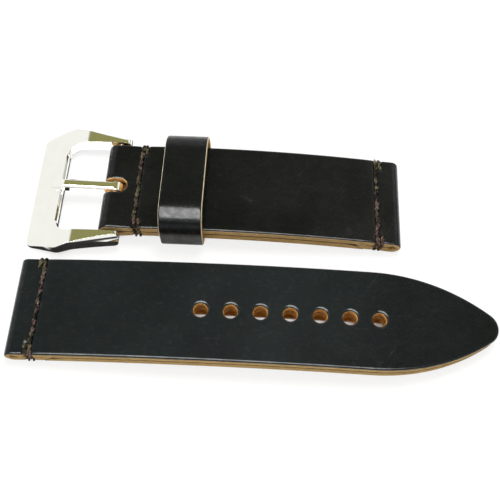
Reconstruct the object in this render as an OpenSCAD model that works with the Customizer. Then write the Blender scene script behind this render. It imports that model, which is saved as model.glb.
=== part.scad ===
// Two-piece leather watch strap with a steel pin buckle, laid out as it lies on a table:
// the long piece in front, the short piece with its buckle and free keeper behind it.
// Lengths run along X, widths along Y, and Z is up from the table.

/* [Leather] */
// Width of both strap pieces, the same as the gap between the watch's lugs
strap_w = 24; // [20:0.5:26]
// Thickness of one layer of leather
layer_t = 2.1; // [1.8:0.05:2.4]
// Glue line between the two layers
seam_t = 0.1; // [0.05:0.01:0.2]
// Length over which a turned-back end is thinned to a feather edge
skive_len = 2.4; // [1:0.1:4]

/* [Long piece] */
// Length of the long piece from its lug fold to its tip
long_len = 112.4; // [100:0.1:130]
// Radius of the arch that the long piece stands in
long_arch_r = 566; // [400:1:900]
// Length over which the tip tapers
tip_taper = 29; // [22:0.5:34]
// Radius of the tip's nose
tip_nose_r = 4; // [2:0.1:6]
// Number of holes for the tang
hole_count = 7; // [4:1:9]
// Width of a hole
hole_d = 3.2; // [2.6:0.1:3.6]
// Distance from one hole to the next
hole_pitch = 6.8; // [6:0.1:8]
// Distance from the tip to the nearest hole
hole_from_tip = 27.6; // [20:0.1:34]
// Width of the dented rim round a hole
hole_rim_d = 4.1; // [3.8:0.1:5]
// Depth of the dented rim
hole_rim_depth = 0.45; // [0.2:0.05:0.8]

/* [Short piece] */
// Length of the short piece from its buckle fold to its lug fold
short_len = 74; // [66:0.5:90]
// Radius of the arch that the short piece stands in
short_arch_r = 345; // [280:1:600]

/* [Folds] */
// Width of the bore for the watch's own spring bar in each lug fold
lug_bore_d = 1.9; // [1.6:0.05:2.3]
// Length of the slit that runs on from the lug bore between the layers
lug_slit_len = 2.4; // [1.6:0.1:4]
// Length of the leather turned back at a lug fold
lug_flap_len = 11; // [10:0.1:14]
// Outer radius of the fold round the buckle's bar
bar_fold_r = 2.65; // [2.4:0.05:3]
// Distance from the buckle fold's edge to where it has thinned to the strap's thickness
bar_fold_len = 7.8; // [6.5:0.1:9]
// Length of the slit that runs on from the bar's bore between the layers
bar_slit_len = 4.2; // [3:0.1:6]
// Length of the leather turned back at the buckle fold
bar_flap_len = 17; // [14:0.1:22]
// Width of the slot for the tang
slot_w = 3.8; // [3.2:0.1:4.6]
// Reach of the slot behind the middle of the bar
slot_back = 3.4; // [3:0.1:4]

/* [Stitching] */
// Thickness of the waxed thread
thread_d = 0.9; // [0.6:0.05:1.1]
// Gap round the thread in its holes and grooves
thread_fit = 0.05; // [0.03:0.01:0.1]
// Height of the thread's middle over the black side, below zero where it is sunk
thread_rise = -0.05; // [-0.2:0.01:0.1]
// Number of long stitches across the strap
stitch_count = 4; // [3:1:6]
// Distance from the strap's edge to the first stitch hole
stitch_inset = 2.4; // [1.8:0.1:3.2]
// Distance between the two turns that wrap each edge
wrap_gap = 1.1; // [1:0.05:1.5]
// Distance from a lug fold to its stitching
lug_stitch_at = 6.2; // [5.5:0.1:7.5]
// Distance from the buckle fold to its stitching
bar_stitch_at = 8.9; // [8.5:0.1:10]

/* [Keeper] */
// Width of the keeper along the strap
keeper_w = 10.4; // [8:0.1:12]
// Thickness of the keeper's leather
keeper_t = 1.6; // [1.4:0.1:2]
// Distance from the buckle fold to the keeper
keeper_at = 15.4; // [13:0.1:18]
// Gap between the keeper and each edge of the strap
keeper_side_gap = 0.4; // [0.3:0.05:1]
// Gap between the strap and the part of the keeper under it
keeper_under_gap = 0.7; // [0.5:0.05:1]
// Room in the keeper beyond the two thicknesses of strap that it holds
keeper_slack = 1; // [0.4:0.1:1.4]
// Outer radius of the keeper's upper corners
keeper_crown_r = 6.5; // [4:0.1:7]
// Outer radius of the keeper's lower corners
keeper_base_r = 3.2; // [2.2:0.1:3.2]
// Length of the stitches that close the keeper underneath
keeper_stitch_len = 3.2; // [2:0.1:5]
// Distance between those stitches
keeper_stitch_pitch = 3.4; // [2.4:0.1:4]
// Number of those stitches
keeper_stitch_count = 3; // [2:1:3]

/* [Buckle] */
// Distance from the bar to the front edge of the plate
front_reach = 20.6; // [18:0.1:23]
// Distance from the bar to the plate's widest place
corner_reach = 12.4; // [11.8:0.1:13.5]
// Distance from the bar to the crease where the plate starts
shoulder_reach = 8.8; // [7:0.1:9.5]
// Width of the plate across its corners
plate_w = 34.9; // [34:0.1:38]
// Width of the plate's front edge
front_w = 31; // [26:0.1:33]
// Thickness of the plate's front edge
front_t = 0.65; // [0.5:0.05:1.2]
// Height of the plate's crown over a flat slope
plate_crown = 0.3; // [0.2:0.05:0.9]
// Gap between the strap and each arm
arm_gap = 0.85; // [0.5:0.05:1.2]
// Width of an arm at its end
arm_end_w = 1.9; // [1.7:0.05:2.4]
// Width of an arm at the shoulder
arm_root_w = 3.6; // [2.8:0.1:4]
// Height of the arms
arm_h = 3.8; // [3.2:0.1:4.5]
// Length of the arms behind the middle of the bar
arm_back = 2.7; // [2:0.1:3.4]
// Radius of the arms' rear corners, seen from the side
arm_round = 1.2; // [0.6:0.1:1.6]
// Radius of the plate's front corners
front_corner_r = 2; // [1:0.1:3]
// Radius of the plate's widest corners
corner_r = 2.5; // [1:0.1:4]
// Radius of the sweep from each arm to the plate
shoulder_r = 4; // [2:0.1:5]
// Bevel along the outer top edge of the arms, at their ends
arm_bevel = 1.2; // [0.8:0.1:1.3]
// Bevel left where that edge runs out at the plate's corners
corner_bevel = 0.2; // [0.1:0.05:0.4]
// Lean of the arms' sides under the bevel
arm_side_lean = 35; // [20:1:38]
// Depth of the underside below the middle of the bar
under_drop = 1.5; // [1.2:0.05:1.9]
// Radius of the buckle's curved underside
under_r = 88; // [60:1:200]
// Distance from the bar to the front of the window
window_reach = 13.2; // [12:0.1:14.5]
// Radius of the window's front corners
window_corner_r = 3; // [1:0.1:4]
// Bevel along the front of the window
window_bevel = 0.5; // [0.2:0.05:0.8]

/* [Tang] */
// Width of the tang
tang_w = 2.4; // [1.8:0.1:2.8]
// Distance from the bar to the tang's point
tang_reach = 16; // [14.5:0.1:17.5]
// Outer radius of the tang's eye
tang_eye_r = 2.35; // [2.1:0.05:2.6]
// Thickness of the tang's shank
tang_t = 2.2; // [1.8:0.05:2.3]
// Thickness of the tang at its very tip
tang_tip_t = 0.45; // [0.3:0.05:0.8]
// Width of the tang at its very tip
tang_tip_w = 1.2; // [0.8:0.1:1.8]
// Length of the sloped point
tang_point_len = 3.6; // [2.5:0.1:5]
// Bevel along the tang's top edges
tang_bevel = 0.45; // [0.2:0.05:0.6]
// Gap between the tang and the notch that it rests in
tang_rest_gap = 0.15; // [0.1:0.05:0.4]
// Gap at each side of the tang in its notch
notch_side_gap = 0.4; // [0.2:0.05:0.8]

/* [Spring bar] */
// Width of the bar's tube
bar_d = 1.8; // [1.5:0.05:2]
// Wall of the tube
bar_wall = 0.25; // [0.2:0.05:0.4]
// Width of a plunger's tip
tip_d = 0.8; // [0.6:0.05:1]
// Length of a plunger's tip
tip_len = 1.1; // [0.8:0.05:1.2]
// Width of a plunger's collar
collar_d = 1.6; // [1.3:0.05:1.8]
// Length of a plunger's collar
collar_len = 0.5; // [0.4:0.05:0.7]
// Travel of a plunger from its tip's rest to full in
plunger_travel = 1.2; // [1:0.05:1.3]
// Length of a plunger's stem inside the tube
stem_len = 3; // [2:0.1:4]
// Radial gap of every part that turns or slides on another
running_fit = 0.05; // [0.02:0.01:0.08]
// Radial gap between the tube and the leather of the fold
fold_fit = 0.09; // [0.05:0.01:0.1]
// Gap between a collar and its arm
collar_gap = 0.1; // [0.05:0.05:0.3]

/* [Layout] */
// Distance between the middles of the two pieces
pair_pitch = 32.6; // [31:0.1:45]
// Distance along X from the long piece's lug fold to the short piece's buckle fold
short_offset = 17.1; // [5:0.1:35]

/* [Hidden] */

round_fn = 64;
arc_steps = 14;
outline_step = 2;
overrun = 1;

leather_black = [0.06, 0.06, 0.06];
leather_tan = [0.66, 0.47, 0.28];
thread_brown = [0.36, 0.29, 0.24];
steel = [0.8, 0.8, 0.78];

strap_t = 2 * layer_t + seam_t;
mid_n = strap_t / 2;
lug_fold_r = strap_t / 2;
bore_mouth_angle = 27;
bore_mouth_depth = 0.97;
fold_bore_r = bar_d / 2 + fold_fit;
bevel_slope = 45;
side_bevel_share = 1.21;

// Straight-line helpers
function unit(v) = v / norm(v);
function last(list) = list[len(list) - 1];
function reversed(list) = [for (i = [len(list) - 1:-1:0]) list[i]];
function arc_points(c, r, a0, a1, n) =
    [for (i = [0:n]) c + r * [cos(a0 + (a1 - a0) * i / n), sin(a0 + (a1 - a0) * i / n)]];

// The points that round one corner of an outline, p, between its neighbours a and b
function corner_points(p, a, b, r, n) =
    let (u = unit(a - p), v = unit(b - p), half = acos(u * v) / 2)
    let (c = p + unit(u + v) * r / sin(half), s = p + u * r / tan(half) - c)
    let (turn = (180 - 2 * half) * (cross(u, v) < 0 ? 1 : -1))
    [for (i = [0:n]) let (t = turn * i / n)
        c + [s[0] * cos(t) - s[1] * sin(t), s[0] * sin(t) + s[1] * cos(t)]];

// An outline with a radius at each corner, where a radius of 0 keeps the corner sharp
function rounded(points, radii, n = 6) =
    let (m = len(points))
    [for (i = [0:m - 1])
        let (p = points[i], a = points[(i + m - 1) % m], b = points[(i + 1) % m])
        each radii[i] > 0 ? corner_points(p, a, b, radii[i], n) : [p]];

// The same outline with points added, so that no side is longer than the step
function divided(points, step) =
    let (m = len(points))
    [for (i = [0:m - 1])
        let (p = points[i], q = points[(i + 1) % m], k = max(1, ceil(norm(q - p) / step)))
        for (j = [0:k - 1]) p + (q - p) * j / k];

// Arches: s runs along the underside from a piece's left end, and n is the height over it
function degrees(s, r) = s / r * 180 / PI;
function arch_x(s, n, top_s, r, c) = c[0] + (r + n) * sin(degrees(s - top_s, r));
function arch_z(s, n, top_s, r, c) = c[1] + (r + n) * cos(degrees(s - top_s, r));

// Long piece: its lug fold and its tip rest on the table
long_top_s = (lug_fold_r + long_len) / 2;
long_fold_a = degrees(lug_fold_r - long_top_s, long_arch_r);
long_x0 = lug_fold_r - (long_arch_r + mid_n) * sin(long_fold_a);
long_z0 = lug_fold_r - (long_arch_r + mid_n) * cos(long_fold_a);
tip_x0 = long_x0 + long_arch_r * sin(degrees(long_len - long_top_s, long_arch_r));

// Short piece: its lug fold rests on the table, and the keeper under it rests there too
keeper_under = keeper_t + keeper_under_gap;
short_rest_span = short_len - lug_fold_r - keeper_at;
short_top_s = short_len - lug_fold_r
    - (short_rest_span + 2 * keeper_under * short_arch_r / short_rest_span) / 2;
short_z0 = -(short_arch_r - keeper_under) * cos(degrees(short_top_s - keeper_at, short_arch_r));
bar_a = degrees(bar_fold_r - short_top_s, short_arch_r);
short_x0 = short_offset + bar_fold_r - (short_arch_r + mid_n) * sin(bar_a);
bar_z = short_z0 + (short_arch_r + mid_n) * cos(bar_a);

// Buckle: heights of its underside and its arms at a distance x from the bar
function under_z(x) = -under_drop - under_r + sqrt(under_r * under_r - x * x);
function arm_top_z(x) = under_z(x) + arm_h;
front_under_z = under_z(front_reach);
front_span = norm([front_reach, front_under_z]);
buckle_tilt = atan(-front_under_z / front_reach) - asin(bar_z / front_span);
buckle_front_x = short_offset + bar_fold_r - sqrt(front_span * front_span - bar_z * bar_z);

// The whole lies with the middle of its outline over the origin
wrap_out = thread_d / 2 + thread_rise;
shift_x = -(min(0, buckle_front_x) + tip_x0) / 2;
long_y = -(pair_pitch + plate_w / 2 - strap_w / 2 - wrap_out) / 2;
short_y = long_y + pair_pitch;
long_c = [long_x0 + shift_x, long_z0];
short_c = [short_x0 + shift_x, short_z0];
bar_x = short_offset + bar_fold_r + shift_x;
tip_x = tip_x0 + shift_x;

window_w = strap_w + 2 * arm_gap;
arm_end_half = window_w / 2 + arm_end_w;
arm_root_half = window_w / 2 + arm_root_w;
keeper_h = 2 * keeper_t + 2 * strap_t + keeper_slack;
keeper_half = strap_w / 2 + keeper_side_gap + keeper_t;
tube_half = window_w / 2 - collar_gap - collar_len - plunger_travel;
stem_r = bar_d / 2 - bar_wall - running_fit;
tang_under = tang_eye_r - tang_t;
groove_r = thread_d / 2 + thread_fit;
leg_share = 0.92;

// Places the children with X along an arch and Z out of it
module on_long(s, n = 0) {
    translate([arch_x(s, n, long_top_s, long_arch_r, long_c), long_y,
        arch_z(s, n, long_top_s, long_arch_r, long_c)])
        rotate([0, degrees(s - long_top_s, long_arch_r), 0]) children();
}

module on_short(s, n = 0) {
    translate([arch_x(s, n, short_top_s, short_arch_r, short_c), short_y,
        arch_z(s, n, short_top_s, short_arch_r, short_c)])
        rotate([0, degrees(s - short_top_s, short_arch_r), 0]) children();
}

// A side outline given in X and Z, made w wide about Y = 0
module slab(points, w) {
    translate([0, w / 2, 0]) rotate([90, 0, 0]) linear_extrude(w) polygon(points);
}

// A cylinder along Y about Y = 0
module cross_bar(r, w) {
    rotate([90, 0, 0]) cylinder(r = r, h = w, center = true, $fn = round_fn);
}

// The leather's side outline, bent to an arch
function bent(points, top_s, r, c) =
    [for (p = divided(points, outline_step))
        [arch_x(p[0], p[1], top_s, r, c), arch_z(p[0], p[1], top_s, r, c)]];

// The outside of a fold at the left end, from the black side round to the underside.
// It swells to the radius r round its bore and has thinned to the strap's thickness at reach.
function fold_points(r, reach) =
    let (d = norm([reach - r, mid_n]), a = atan2(mid_n, reach - r) + acos(r / d))
    concat([[reach, strap_t]], arc_points([r, mid_n], r, a, 360 - a, arc_steps), [[reach, 0]]);

// The inside of a fold: the turned-back end, and the slit that runs to the bore
function flap_points(r, bore_r, slit_len, flap_len) =
    let (mouth = bore_r * bore_mouth_depth * [cos(bore_mouth_angle), sin(bore_mouth_angle)])
    [[flap_len - skive_len, 0], [flap_len, layer_t], [r + slit_len, layer_t],
        [r + mouth[0], mid_n - mouth[1]], [r + mouth[0], mid_n + mouth[1]],
        [r + slit_len, layer_t + seam_t]];

function mirrored_end(points, length) = [for (p = reversed(points)) [length - p[0], p[1]]];

lug_fold = fold_points(lug_fold_r, 2 * lug_fold_r);
lug_flap = flap_points(lug_fold_r, lug_bore_d / 2, lug_slit_len, lug_flap_len);
bar_fold = fold_points(bar_fold_r, bar_fold_len);
bar_flap = flap_points(bar_fold_r, fold_bore_r, bar_slit_len, bar_flap_len);

// A straight run of thread along Y, a little longer than the distance that it covers
module thread_run(r, length) {
    cross_bar(r, length + r);
}

// A straight run of thread through the strap or down its edge, pulled a little thinner
module thread_leg(r, bottom, top) {
    translate([0, 0, bottom - r / 2])
        cylinder(r = leg_share * r, h = top - bottom + r, $fn = round_fn);
}

// One line of saddle stitching across the strap, with two turns round each edge.
// r is the thread's radius, or that of the holes and grooves that it lies in.
module stitch_line(r, turn_side) {
    top = strap_t + thread_rise;
    bottom = thread_d / 2 - wrap_out / 2;
    hole_y = strap_w / 2 - stitch_inset;
    edge_y = strap_w / 2 + thread_rise;
    pitch = 2 * hole_y / stitch_count;
    for (i = [0:stitch_count]) translate([0, i * pitch - hole_y, 0]) thread_leg(r, bottom, top);
    for (z = [bottom, top]) translate([0, 0, z]) thread_run(r, 2 * edge_y);
    for (side = [-1, 1]) {
        translate([0, side * edge_y, 0]) thread_leg(r, bottom, top);
        translate([turn_side * wrap_gap, 0, 0]) {
            for (y = [hole_y, edge_y]) translate([0, side * y, 0]) thread_leg(r, bottom, top);
            for (z = [bottom, top])
                translate([0, side * (hole_y + edge_y) / 2, z]) thread_run(r, edge_y - hole_y);
        }
    }
}

module long_lug_stitches(r) {
    on_long(lug_stitch_at) stitch_line(r, -1);
}

module short_lug_stitches(r) {
    on_short(short_len - lug_stitch_at) stitch_line(r, 1);
}

module short_bar_stitches(r) {
    on_short(bar_stitch_at) stitch_line(r, 1);
}

// The long piece's pointed plan: two flanks of one radius that run into a round nose
module tip_plan() {
    flank_r = (pow(tip_taper - tip_nose_r, 2) + pow(strap_w / 2, 2) - pow(tip_nose_r, 2))
        / (strap_w - 2 * tip_nose_r);
    flank_a = atan2(tip_taper - tip_nose_r, flank_r - strap_w / 2);
    flank = arc_points([tip_x - tip_taper, strap_w / 2 - flank_r], flank_r, 90, 90 - flank_a,
        arc_steps);
    nose = arc_points([tip_x - tip_nose_r, 0], tip_nose_r, 90 - flank_a, 0, arc_steps);
    half = concat([[tip_x - long_len - overrun, strap_w / 2 + overrun],
        [tip_x - tip_taper, strap_w / 2 + overrun]], flank, nose);
    polygon(concat(half, [for (i = [len(half) - 2:-1:0]) [half[i][0], -half[i][1]]]));
}

module pointed() {
    intersection() {
        children();
        translate([0, long_y, -overrun]) linear_extrude(keeper_h * 2) tip_plan();
    }
}

module long_holes(rim) {
    for (i = [0:hole_count - 1]) on_long(long_len - hole_from_tip - i * hole_pitch) {
        translate([0, 0, -overrun]) cylinder(d = hole_d, h = strap_t + 2 * overrun, $fn = round_fn);
        if (rim)
            translate([0, 0, strap_t - hole_rim_depth])
                cylinder(d1 = hole_d - 0.01, d2 = hole_rim_d + (hole_rim_d - hole_d),
                    h = 2 * hole_rim_depth, $fn = round_fn);
    }
}

// The black hide of the long piece, folded back under itself round the lug bore
module long_outer_leather() {
    outline = concat(lug_fold, lug_flap,
        [[long_len + overrun, layer_t + seam_t], [long_len + overrun, strap_t]]);
    color(leather_black) difference() {
        pointed() translate([0, long_y, 0])
            slab(bent(outline, long_top_s, long_arch_r, long_c), strap_w);
        on_long(lug_fold_r, mid_n) cross_bar(lug_bore_d / 2, strap_w + 2 * overrun);
        long_holes(true);
        long_lug_stitches(groove_r);
    }
}

// The tan lining of the long piece, from the turned-back end to the tip
module long_lining_leather() {
    start = lug_flap_len + seam_t;
    outline = [[start - skive_len, 0], [long_len + overrun, 0], [long_len + overrun, layer_t],
        [start, layer_t]];
    color(leather_tan) difference() {
        pointed() translate([0, long_y, 0])
            slab(bent(outline, long_top_s, long_arch_r, long_c), strap_w);
        long_holes(false);
    }
}

module long_lug_stitching() {
    color(thread_brown) long_lug_stitches(thread_d / 2);
}

// The black hide of the short piece, folded back under itself at both ends
module short_outer_leather() {
    outline = concat(bar_fold, bar_flap, mirrored_end(lug_flap, short_len),
        mirrored_end(lug_fold, short_len));
    color(leather_black) difference() {
        translate([0, short_y, 0])
            slab(bent(outline, short_top_s, short_arch_r, short_c), strap_w);
        on_short(short_len - lug_fold_r, mid_n)
            cross_bar(lug_bore_d / 2, strap_w + 2 * overrun);
        on_short(bar_fold_r, mid_n) cross_bar(fold_bore_r, strap_w + 2 * overrun);
        translate([bar_x, short_y, bar_z]) slot();
        short_lug_stitches(groove_r);
        short_bar_stitches(groove_r);
    }
}

// The round-ended slot through the fold, for the tang to swing in
module slot() {
    reach = 2 * strap_t;
    translate([-reach, -slot_w / 2, -reach]) cube([reach + slot_back - slot_w / 2, slot_w, 2 * reach]);
    translate([slot_back - slot_w / 2, 0, -reach])
        cylinder(d = slot_w, h = 2 * reach, $fn = round_fn);
}

// The tan lining of the short piece, between its two turned-back ends
module short_lining_leather() {
    start = bar_flap_len + seam_t;
    end = short_len - lug_flap_len - seam_t;
    outline = [[start - skive_len, 0], [end + skive_len, 0], [end, layer_t], [start, layer_t]];
    color(leather_tan) translate([0, short_y, 0])
        slab(bent(outline, short_top_s, short_arch_r, short_c), strap_w);
}

module short_lug_stitching() {
    color(thread_brown) short_lug_stitches(thread_d / 2);
}

module short_buckle_stitching() {
    color(thread_brown) short_bar_stitches(thread_d / 2);
}

// The keeper's section in Y and Z, drawn in by a depth from its outside
module keeper_section(depth) {
    half = keeper_half - depth;
    low = depth - keeper_under;
    high = keeper_h - keeper_under - depth;
    polygon(rounded([[-half, low], [half, low], [half, high], [-half, high]],
        [keeper_base_r - depth, keeper_base_r - depth, keeper_crown_r - depth,
            keeper_crown_r - depth], arc_steps));
}

// Places the children in the keeper's own frame, with the strap's underside at Z = 0
module on_keeper() {
    on_short(keeper_at + keeper_w / 2) children();
}

// The stitches that hold the keeper's ends together, sunk into its lowest part
module keeper_stitches(r) {
    middle = keeper_t / 2 - keeper_under;
    rise = keeper_t / 2 - thread_d / 2 - thread_fit;
    for (i = [0:keeper_stitch_count - 1])
        translate([(i - (keeper_stitch_count - 1) / 2) * keeper_stitch_pitch, 0, middle]) {
            for (z = [-rise, rise]) translate([0, 0, z]) thread_run(r, keeper_stitch_len);
            for (side = [-1, 1])
                translate([0, side * keeper_stitch_len / 2, 0]) thread_leg(r, -rise, rise);
        }
}

// The free keeper: a leather strip closed into a loop, its ends butted under the strap
module keeper_loop() {
    color(leather_black) on_keeper() difference() {
        rotate([90, 0, 90]) translate([0, 0, -keeper_w / 2]) linear_extrude(keeper_w)
            difference() {
                keeper_section(0);
                keeper_section(keeper_t);
                translate([-seam_t / 2, -keeper_under - overrun])
                    square([seam_t, keeper_t + 2 * overrun]);
            }
        keeper_stitches(groove_r);
    }
}

module keeper_stitching() {
    color(thread_brown) on_keeper() keeper_stitches(thread_d / 2);
}

// Places the children in the buckle's frame: the bar at the origin, the plate towards -X
module on_buckle() {
    translate([bar_x, short_y, bar_z]) rotate([0, buckle_tilt, 0]) children();
}

// A point on the plate's crowned top, from its front edge at 0 to the shoulder at 1
plate_front = [-front_reach, front_under_z + front_t];
plate_rear = [-shoulder_reach, arm_top_z(shoulder_reach)];
function plate_point(t) =
    let (run = plate_rear - plate_front)
    plate_front + run * t + plate_crown * 4 * t * (1 - t) * unit([-run[1], run[0]]);

// All that lies over a plane, which holds the line from a to b and falls away outwards
module facet_cut(a, b, slope) {
    run = b - a;
    level = norm([run[0], run[1]]);
    translate(a) rotate([0, -atan(run[2] / level), atan2(run[1], run[0])]) rotate([slope, 0, 0])
        translate([-overrun, -plate_w / 2, 0]) cube([level + 2 * overrun, plate_w, plate_w / 2]);
}

// A groove with a sloped side, cut along -X from the origin into an edge on the +Y side
module bevel_cut(bevel, length) {
    rotate([90, 0, -90]) linear_extrude(length)
        polygon([[bevel, 0], [0, -bevel], [-overrun, -bevel], [-overrun, overrun],
            [bevel, overrun]]);
}

// The buckle's outline from the side
module buckle_side() {
    rear_low = [arm_back, under_z(arm_back)];
    rear_top = [arm_back, arm_top_z(arm_back)];
    under = [for (i = [0:arc_steps])
        let (x = arm_back - arm_round - (front_reach + arm_back - arm_round) * i / arc_steps)
        [x, under_z(x)]];
    plate = [for (i = [0:arc_steps]) plate_point(i / arc_steps)];
    arms = [for (i = [1:arc_steps])
        let (x = -shoulder_reach + (shoulder_reach + arm_back - arm_round) * i / arc_steps)
        [x, arm_top_z(x)]];
    points = concat(corner_points(rear_low, rear_top, under[0], arm_round, arc_steps), under,
        plate, arms, corner_points(rear_top, last(arms), rear_low, arm_round, arc_steps));
    slab(points, plate_w + 2 * overrun);
}

// The buckle's outline from above, without its window
module buckle_plan() {
    half = [[arm_back + overrun, arm_end_half], [-shoulder_reach, arm_root_half],
        [-corner_reach, plate_w / 2], [-front_reach, front_w / 2]];
    radii = [0, shoulder_r, corner_r, front_corner_r];
    translate([0, 0, -plate_w / 2]) linear_extrude(plate_w)
        polygon(rounded(concat(half, [for (p = reversed(half)) [p[0], -p[1]]]),
            concat(radii, reversed(radii))));
}

module buckle_window() {
    half = window_w / 2;
    rear = arm_back + 2 * overrun;
    translate([0, 0, -plate_w / 2]) linear_extrude(plate_w)
        polygon(rounded([[rear, -half], [rear, half], [-window_reach, half],
            [-window_reach, -half]], [0, 0, window_corner_r, window_corner_r]));
    edge = plate_point((front_reach - window_reach) / (front_reach - shoulder_reach));
    slab([[edge[0] - window_bevel, edge[1] + overrun], [edge[0] - window_bevel, edge[1]],
        [edge[0], edge[1] - window_bevel], [edge[0] + overrun, edge[1] - window_bevel],
        [edge[0] + overrun, edge[1] + overrun]], window_w - 2 * window_corner_r);
}

// The steel frame: a wedge-shaped plate with two arms that hold the bar's tips in blind holes
module buckle_frame() {
    pitch = (arm_top_z(arm_back) - arm_top_z(shoulder_reach)) / (arm_back + shoulder_reach);
    rear = [arm_back, arm_end_half, arm_top_z(arm_back)];
    front = [-corner_reach, plate_w / 2, rear[2] - pitch * (arm_back + corner_reach)];
    notch_r = tang_w / 2 + notch_side_gap;
    color(steel) on_buckle() difference() {
        intersection() {
            buckle_side();
            buckle_plan();
        }
        buckle_window();
        for (side = [0, 1]) mirror([0, side, 0]) {
            facet_cut(rear - [0, arm_bevel, 0], front - [0, corner_bevel, 0], bevel_slope);
            facet_cut(rear - [0, 0, side_bevel_share * arm_bevel],
                front - [0, 0, side_bevel_share * corner_bevel], 90 - arm_side_lean);
            translate([0, window_w / 2 - overrun, 0]) rotate([-90, 0, 0])
                cylinder(r = tip_d / 2 + running_fit, h = tip_len + collar_gap + overrun,
                    $fn = round_fn);
        }
        translate([-tang_reach, 0, tang_under - tang_rest_gap + notch_r]) rotate([0, 90, 0])
            cylinder(r = notch_r, h = tang_reach - window_reach + overrun, $fn = round_fn);
    }
}

// The tang: an eye that turns on the bar and a shank with a sloped, narrowed point
module buckle_tang() {
    point_x = -tang_reach + tang_point_len;
    side = [[0, tang_eye_r], [point_x, tang_eye_r], [-tang_reach, tang_under + tang_tip_t],
        [-tang_reach, tang_under], [0, tang_under]];
    plan = [[overrun * 3, -tang_w / 2], [overrun * 3, tang_w / 2], [point_x, tang_w / 2],
        [-tang_reach, tang_tip_w / 2], [-tang_reach, -tang_tip_w / 2], [point_x, -tang_w / 2]];
    color(steel) on_buckle() difference() {
        union() {
            cross_bar(tang_eye_r, tang_w);
            intersection() {
                slab(side, tang_w);
                translate([0, 0, -tang_w]) linear_extrude(2 * tang_w + tang_eye_r)
                    polygon(rounded(plan, [0, 0, 1, 0.4, 0.4, 1]));
            }
        }
        cross_bar(bar_d / 2 + running_fit, tang_w + 2 * overrun);
        for (s = [0, 1]) mirror([0, s, 0])
            translate([0, tang_w / 2, tang_eye_r]) bevel_cut(tang_bevel, tang_reach + overrun);
    }
}

// Places the children in the bar's frame: its axis along Y through the origin
module on_bar() {
    translate([bar_x, short_y, bar_z]) children();
}

module spring_bar_tube() {
    color(steel) on_bar() difference() {
        cross_bar(bar_d / 2, 2 * tube_half);
        cross_bar(bar_d / 2 - bar_wall, 2 * tube_half + 2 * overrun);
    }
}

// A plunger on the +Y side: a stem in the tube, a collar and a tip in the arm's blind hole
module plunger() {
    collar_y = window_w / 2 - collar_gap - collar_len;
    rotate([-90, 0, 0]) {
        translate([0, 0, tube_half - stem_len])
            cylinder(r = stem_r, h = collar_y + stem_len - tube_half, $fn = round_fn);
        translate([0, 0, collar_y]) cylinder(d = collar_d, h = collar_len, $fn = round_fn);
        translate([0, 0, collar_y + collar_len])
            cylinder(d = tip_d, h = collar_gap + tip_len, $fn = round_fn);
    }
}

module spring_bar_plunger_far() {
    color(steel) on_bar() plunger();
}

module spring_bar_plunger_near() {
    color(steel) on_bar() mirror([0, 1, 0]) plunger();
}

// The bar's hidden coil spring, between the ends of the two stems
module spring_bar_spring() {
    spring_half = tube_half - stem_len;
    color(steel) on_bar() difference() {
        cross_bar(stem_r, 2 * spring_half);
        cross_bar(stem_r / 2, 2 * spring_half + overrun);
    }
}

short_outer_leather();
short_lining_leather();
short_lug_stitching();
short_buckle_stitching();
long_outer_leather();
long_lining_leather();
long_lug_stitching();
keeper_loop();
keeper_stitching();
buckle_frame();
buckle_tang();
spring_bar_tube();
spring_bar_plunger_near();
spring_bar_plunger_far();
spring_bar_spring();
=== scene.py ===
import math
import random
import bmesh
import bpy
import numpy as np
from mathutils import Matrix, Vector
from mathutils.geometry import delaunay_2d_cdt as delaunay


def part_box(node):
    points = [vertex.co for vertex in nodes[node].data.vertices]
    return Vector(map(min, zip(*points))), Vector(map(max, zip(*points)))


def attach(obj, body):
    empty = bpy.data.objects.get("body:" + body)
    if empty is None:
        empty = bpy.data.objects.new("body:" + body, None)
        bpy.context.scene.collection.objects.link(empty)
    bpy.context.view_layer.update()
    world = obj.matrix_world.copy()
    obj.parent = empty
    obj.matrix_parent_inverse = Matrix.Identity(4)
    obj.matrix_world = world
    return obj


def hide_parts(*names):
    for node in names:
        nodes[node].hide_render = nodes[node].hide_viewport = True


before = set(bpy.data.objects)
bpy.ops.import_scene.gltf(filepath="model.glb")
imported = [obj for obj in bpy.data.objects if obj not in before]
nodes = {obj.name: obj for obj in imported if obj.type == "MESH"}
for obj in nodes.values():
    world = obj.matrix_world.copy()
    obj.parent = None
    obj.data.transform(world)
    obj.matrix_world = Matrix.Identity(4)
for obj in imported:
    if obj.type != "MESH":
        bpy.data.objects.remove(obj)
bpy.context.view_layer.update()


# The table and the light. The strap lies on a white card, lit by a key and a fill lamp and by a
# softbox that only shows in gloss. The polished steel and the glossy hide also reflect pale
# walls, a dull olive ceiling and the dark edge of the table.
MM = 0.001


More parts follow.
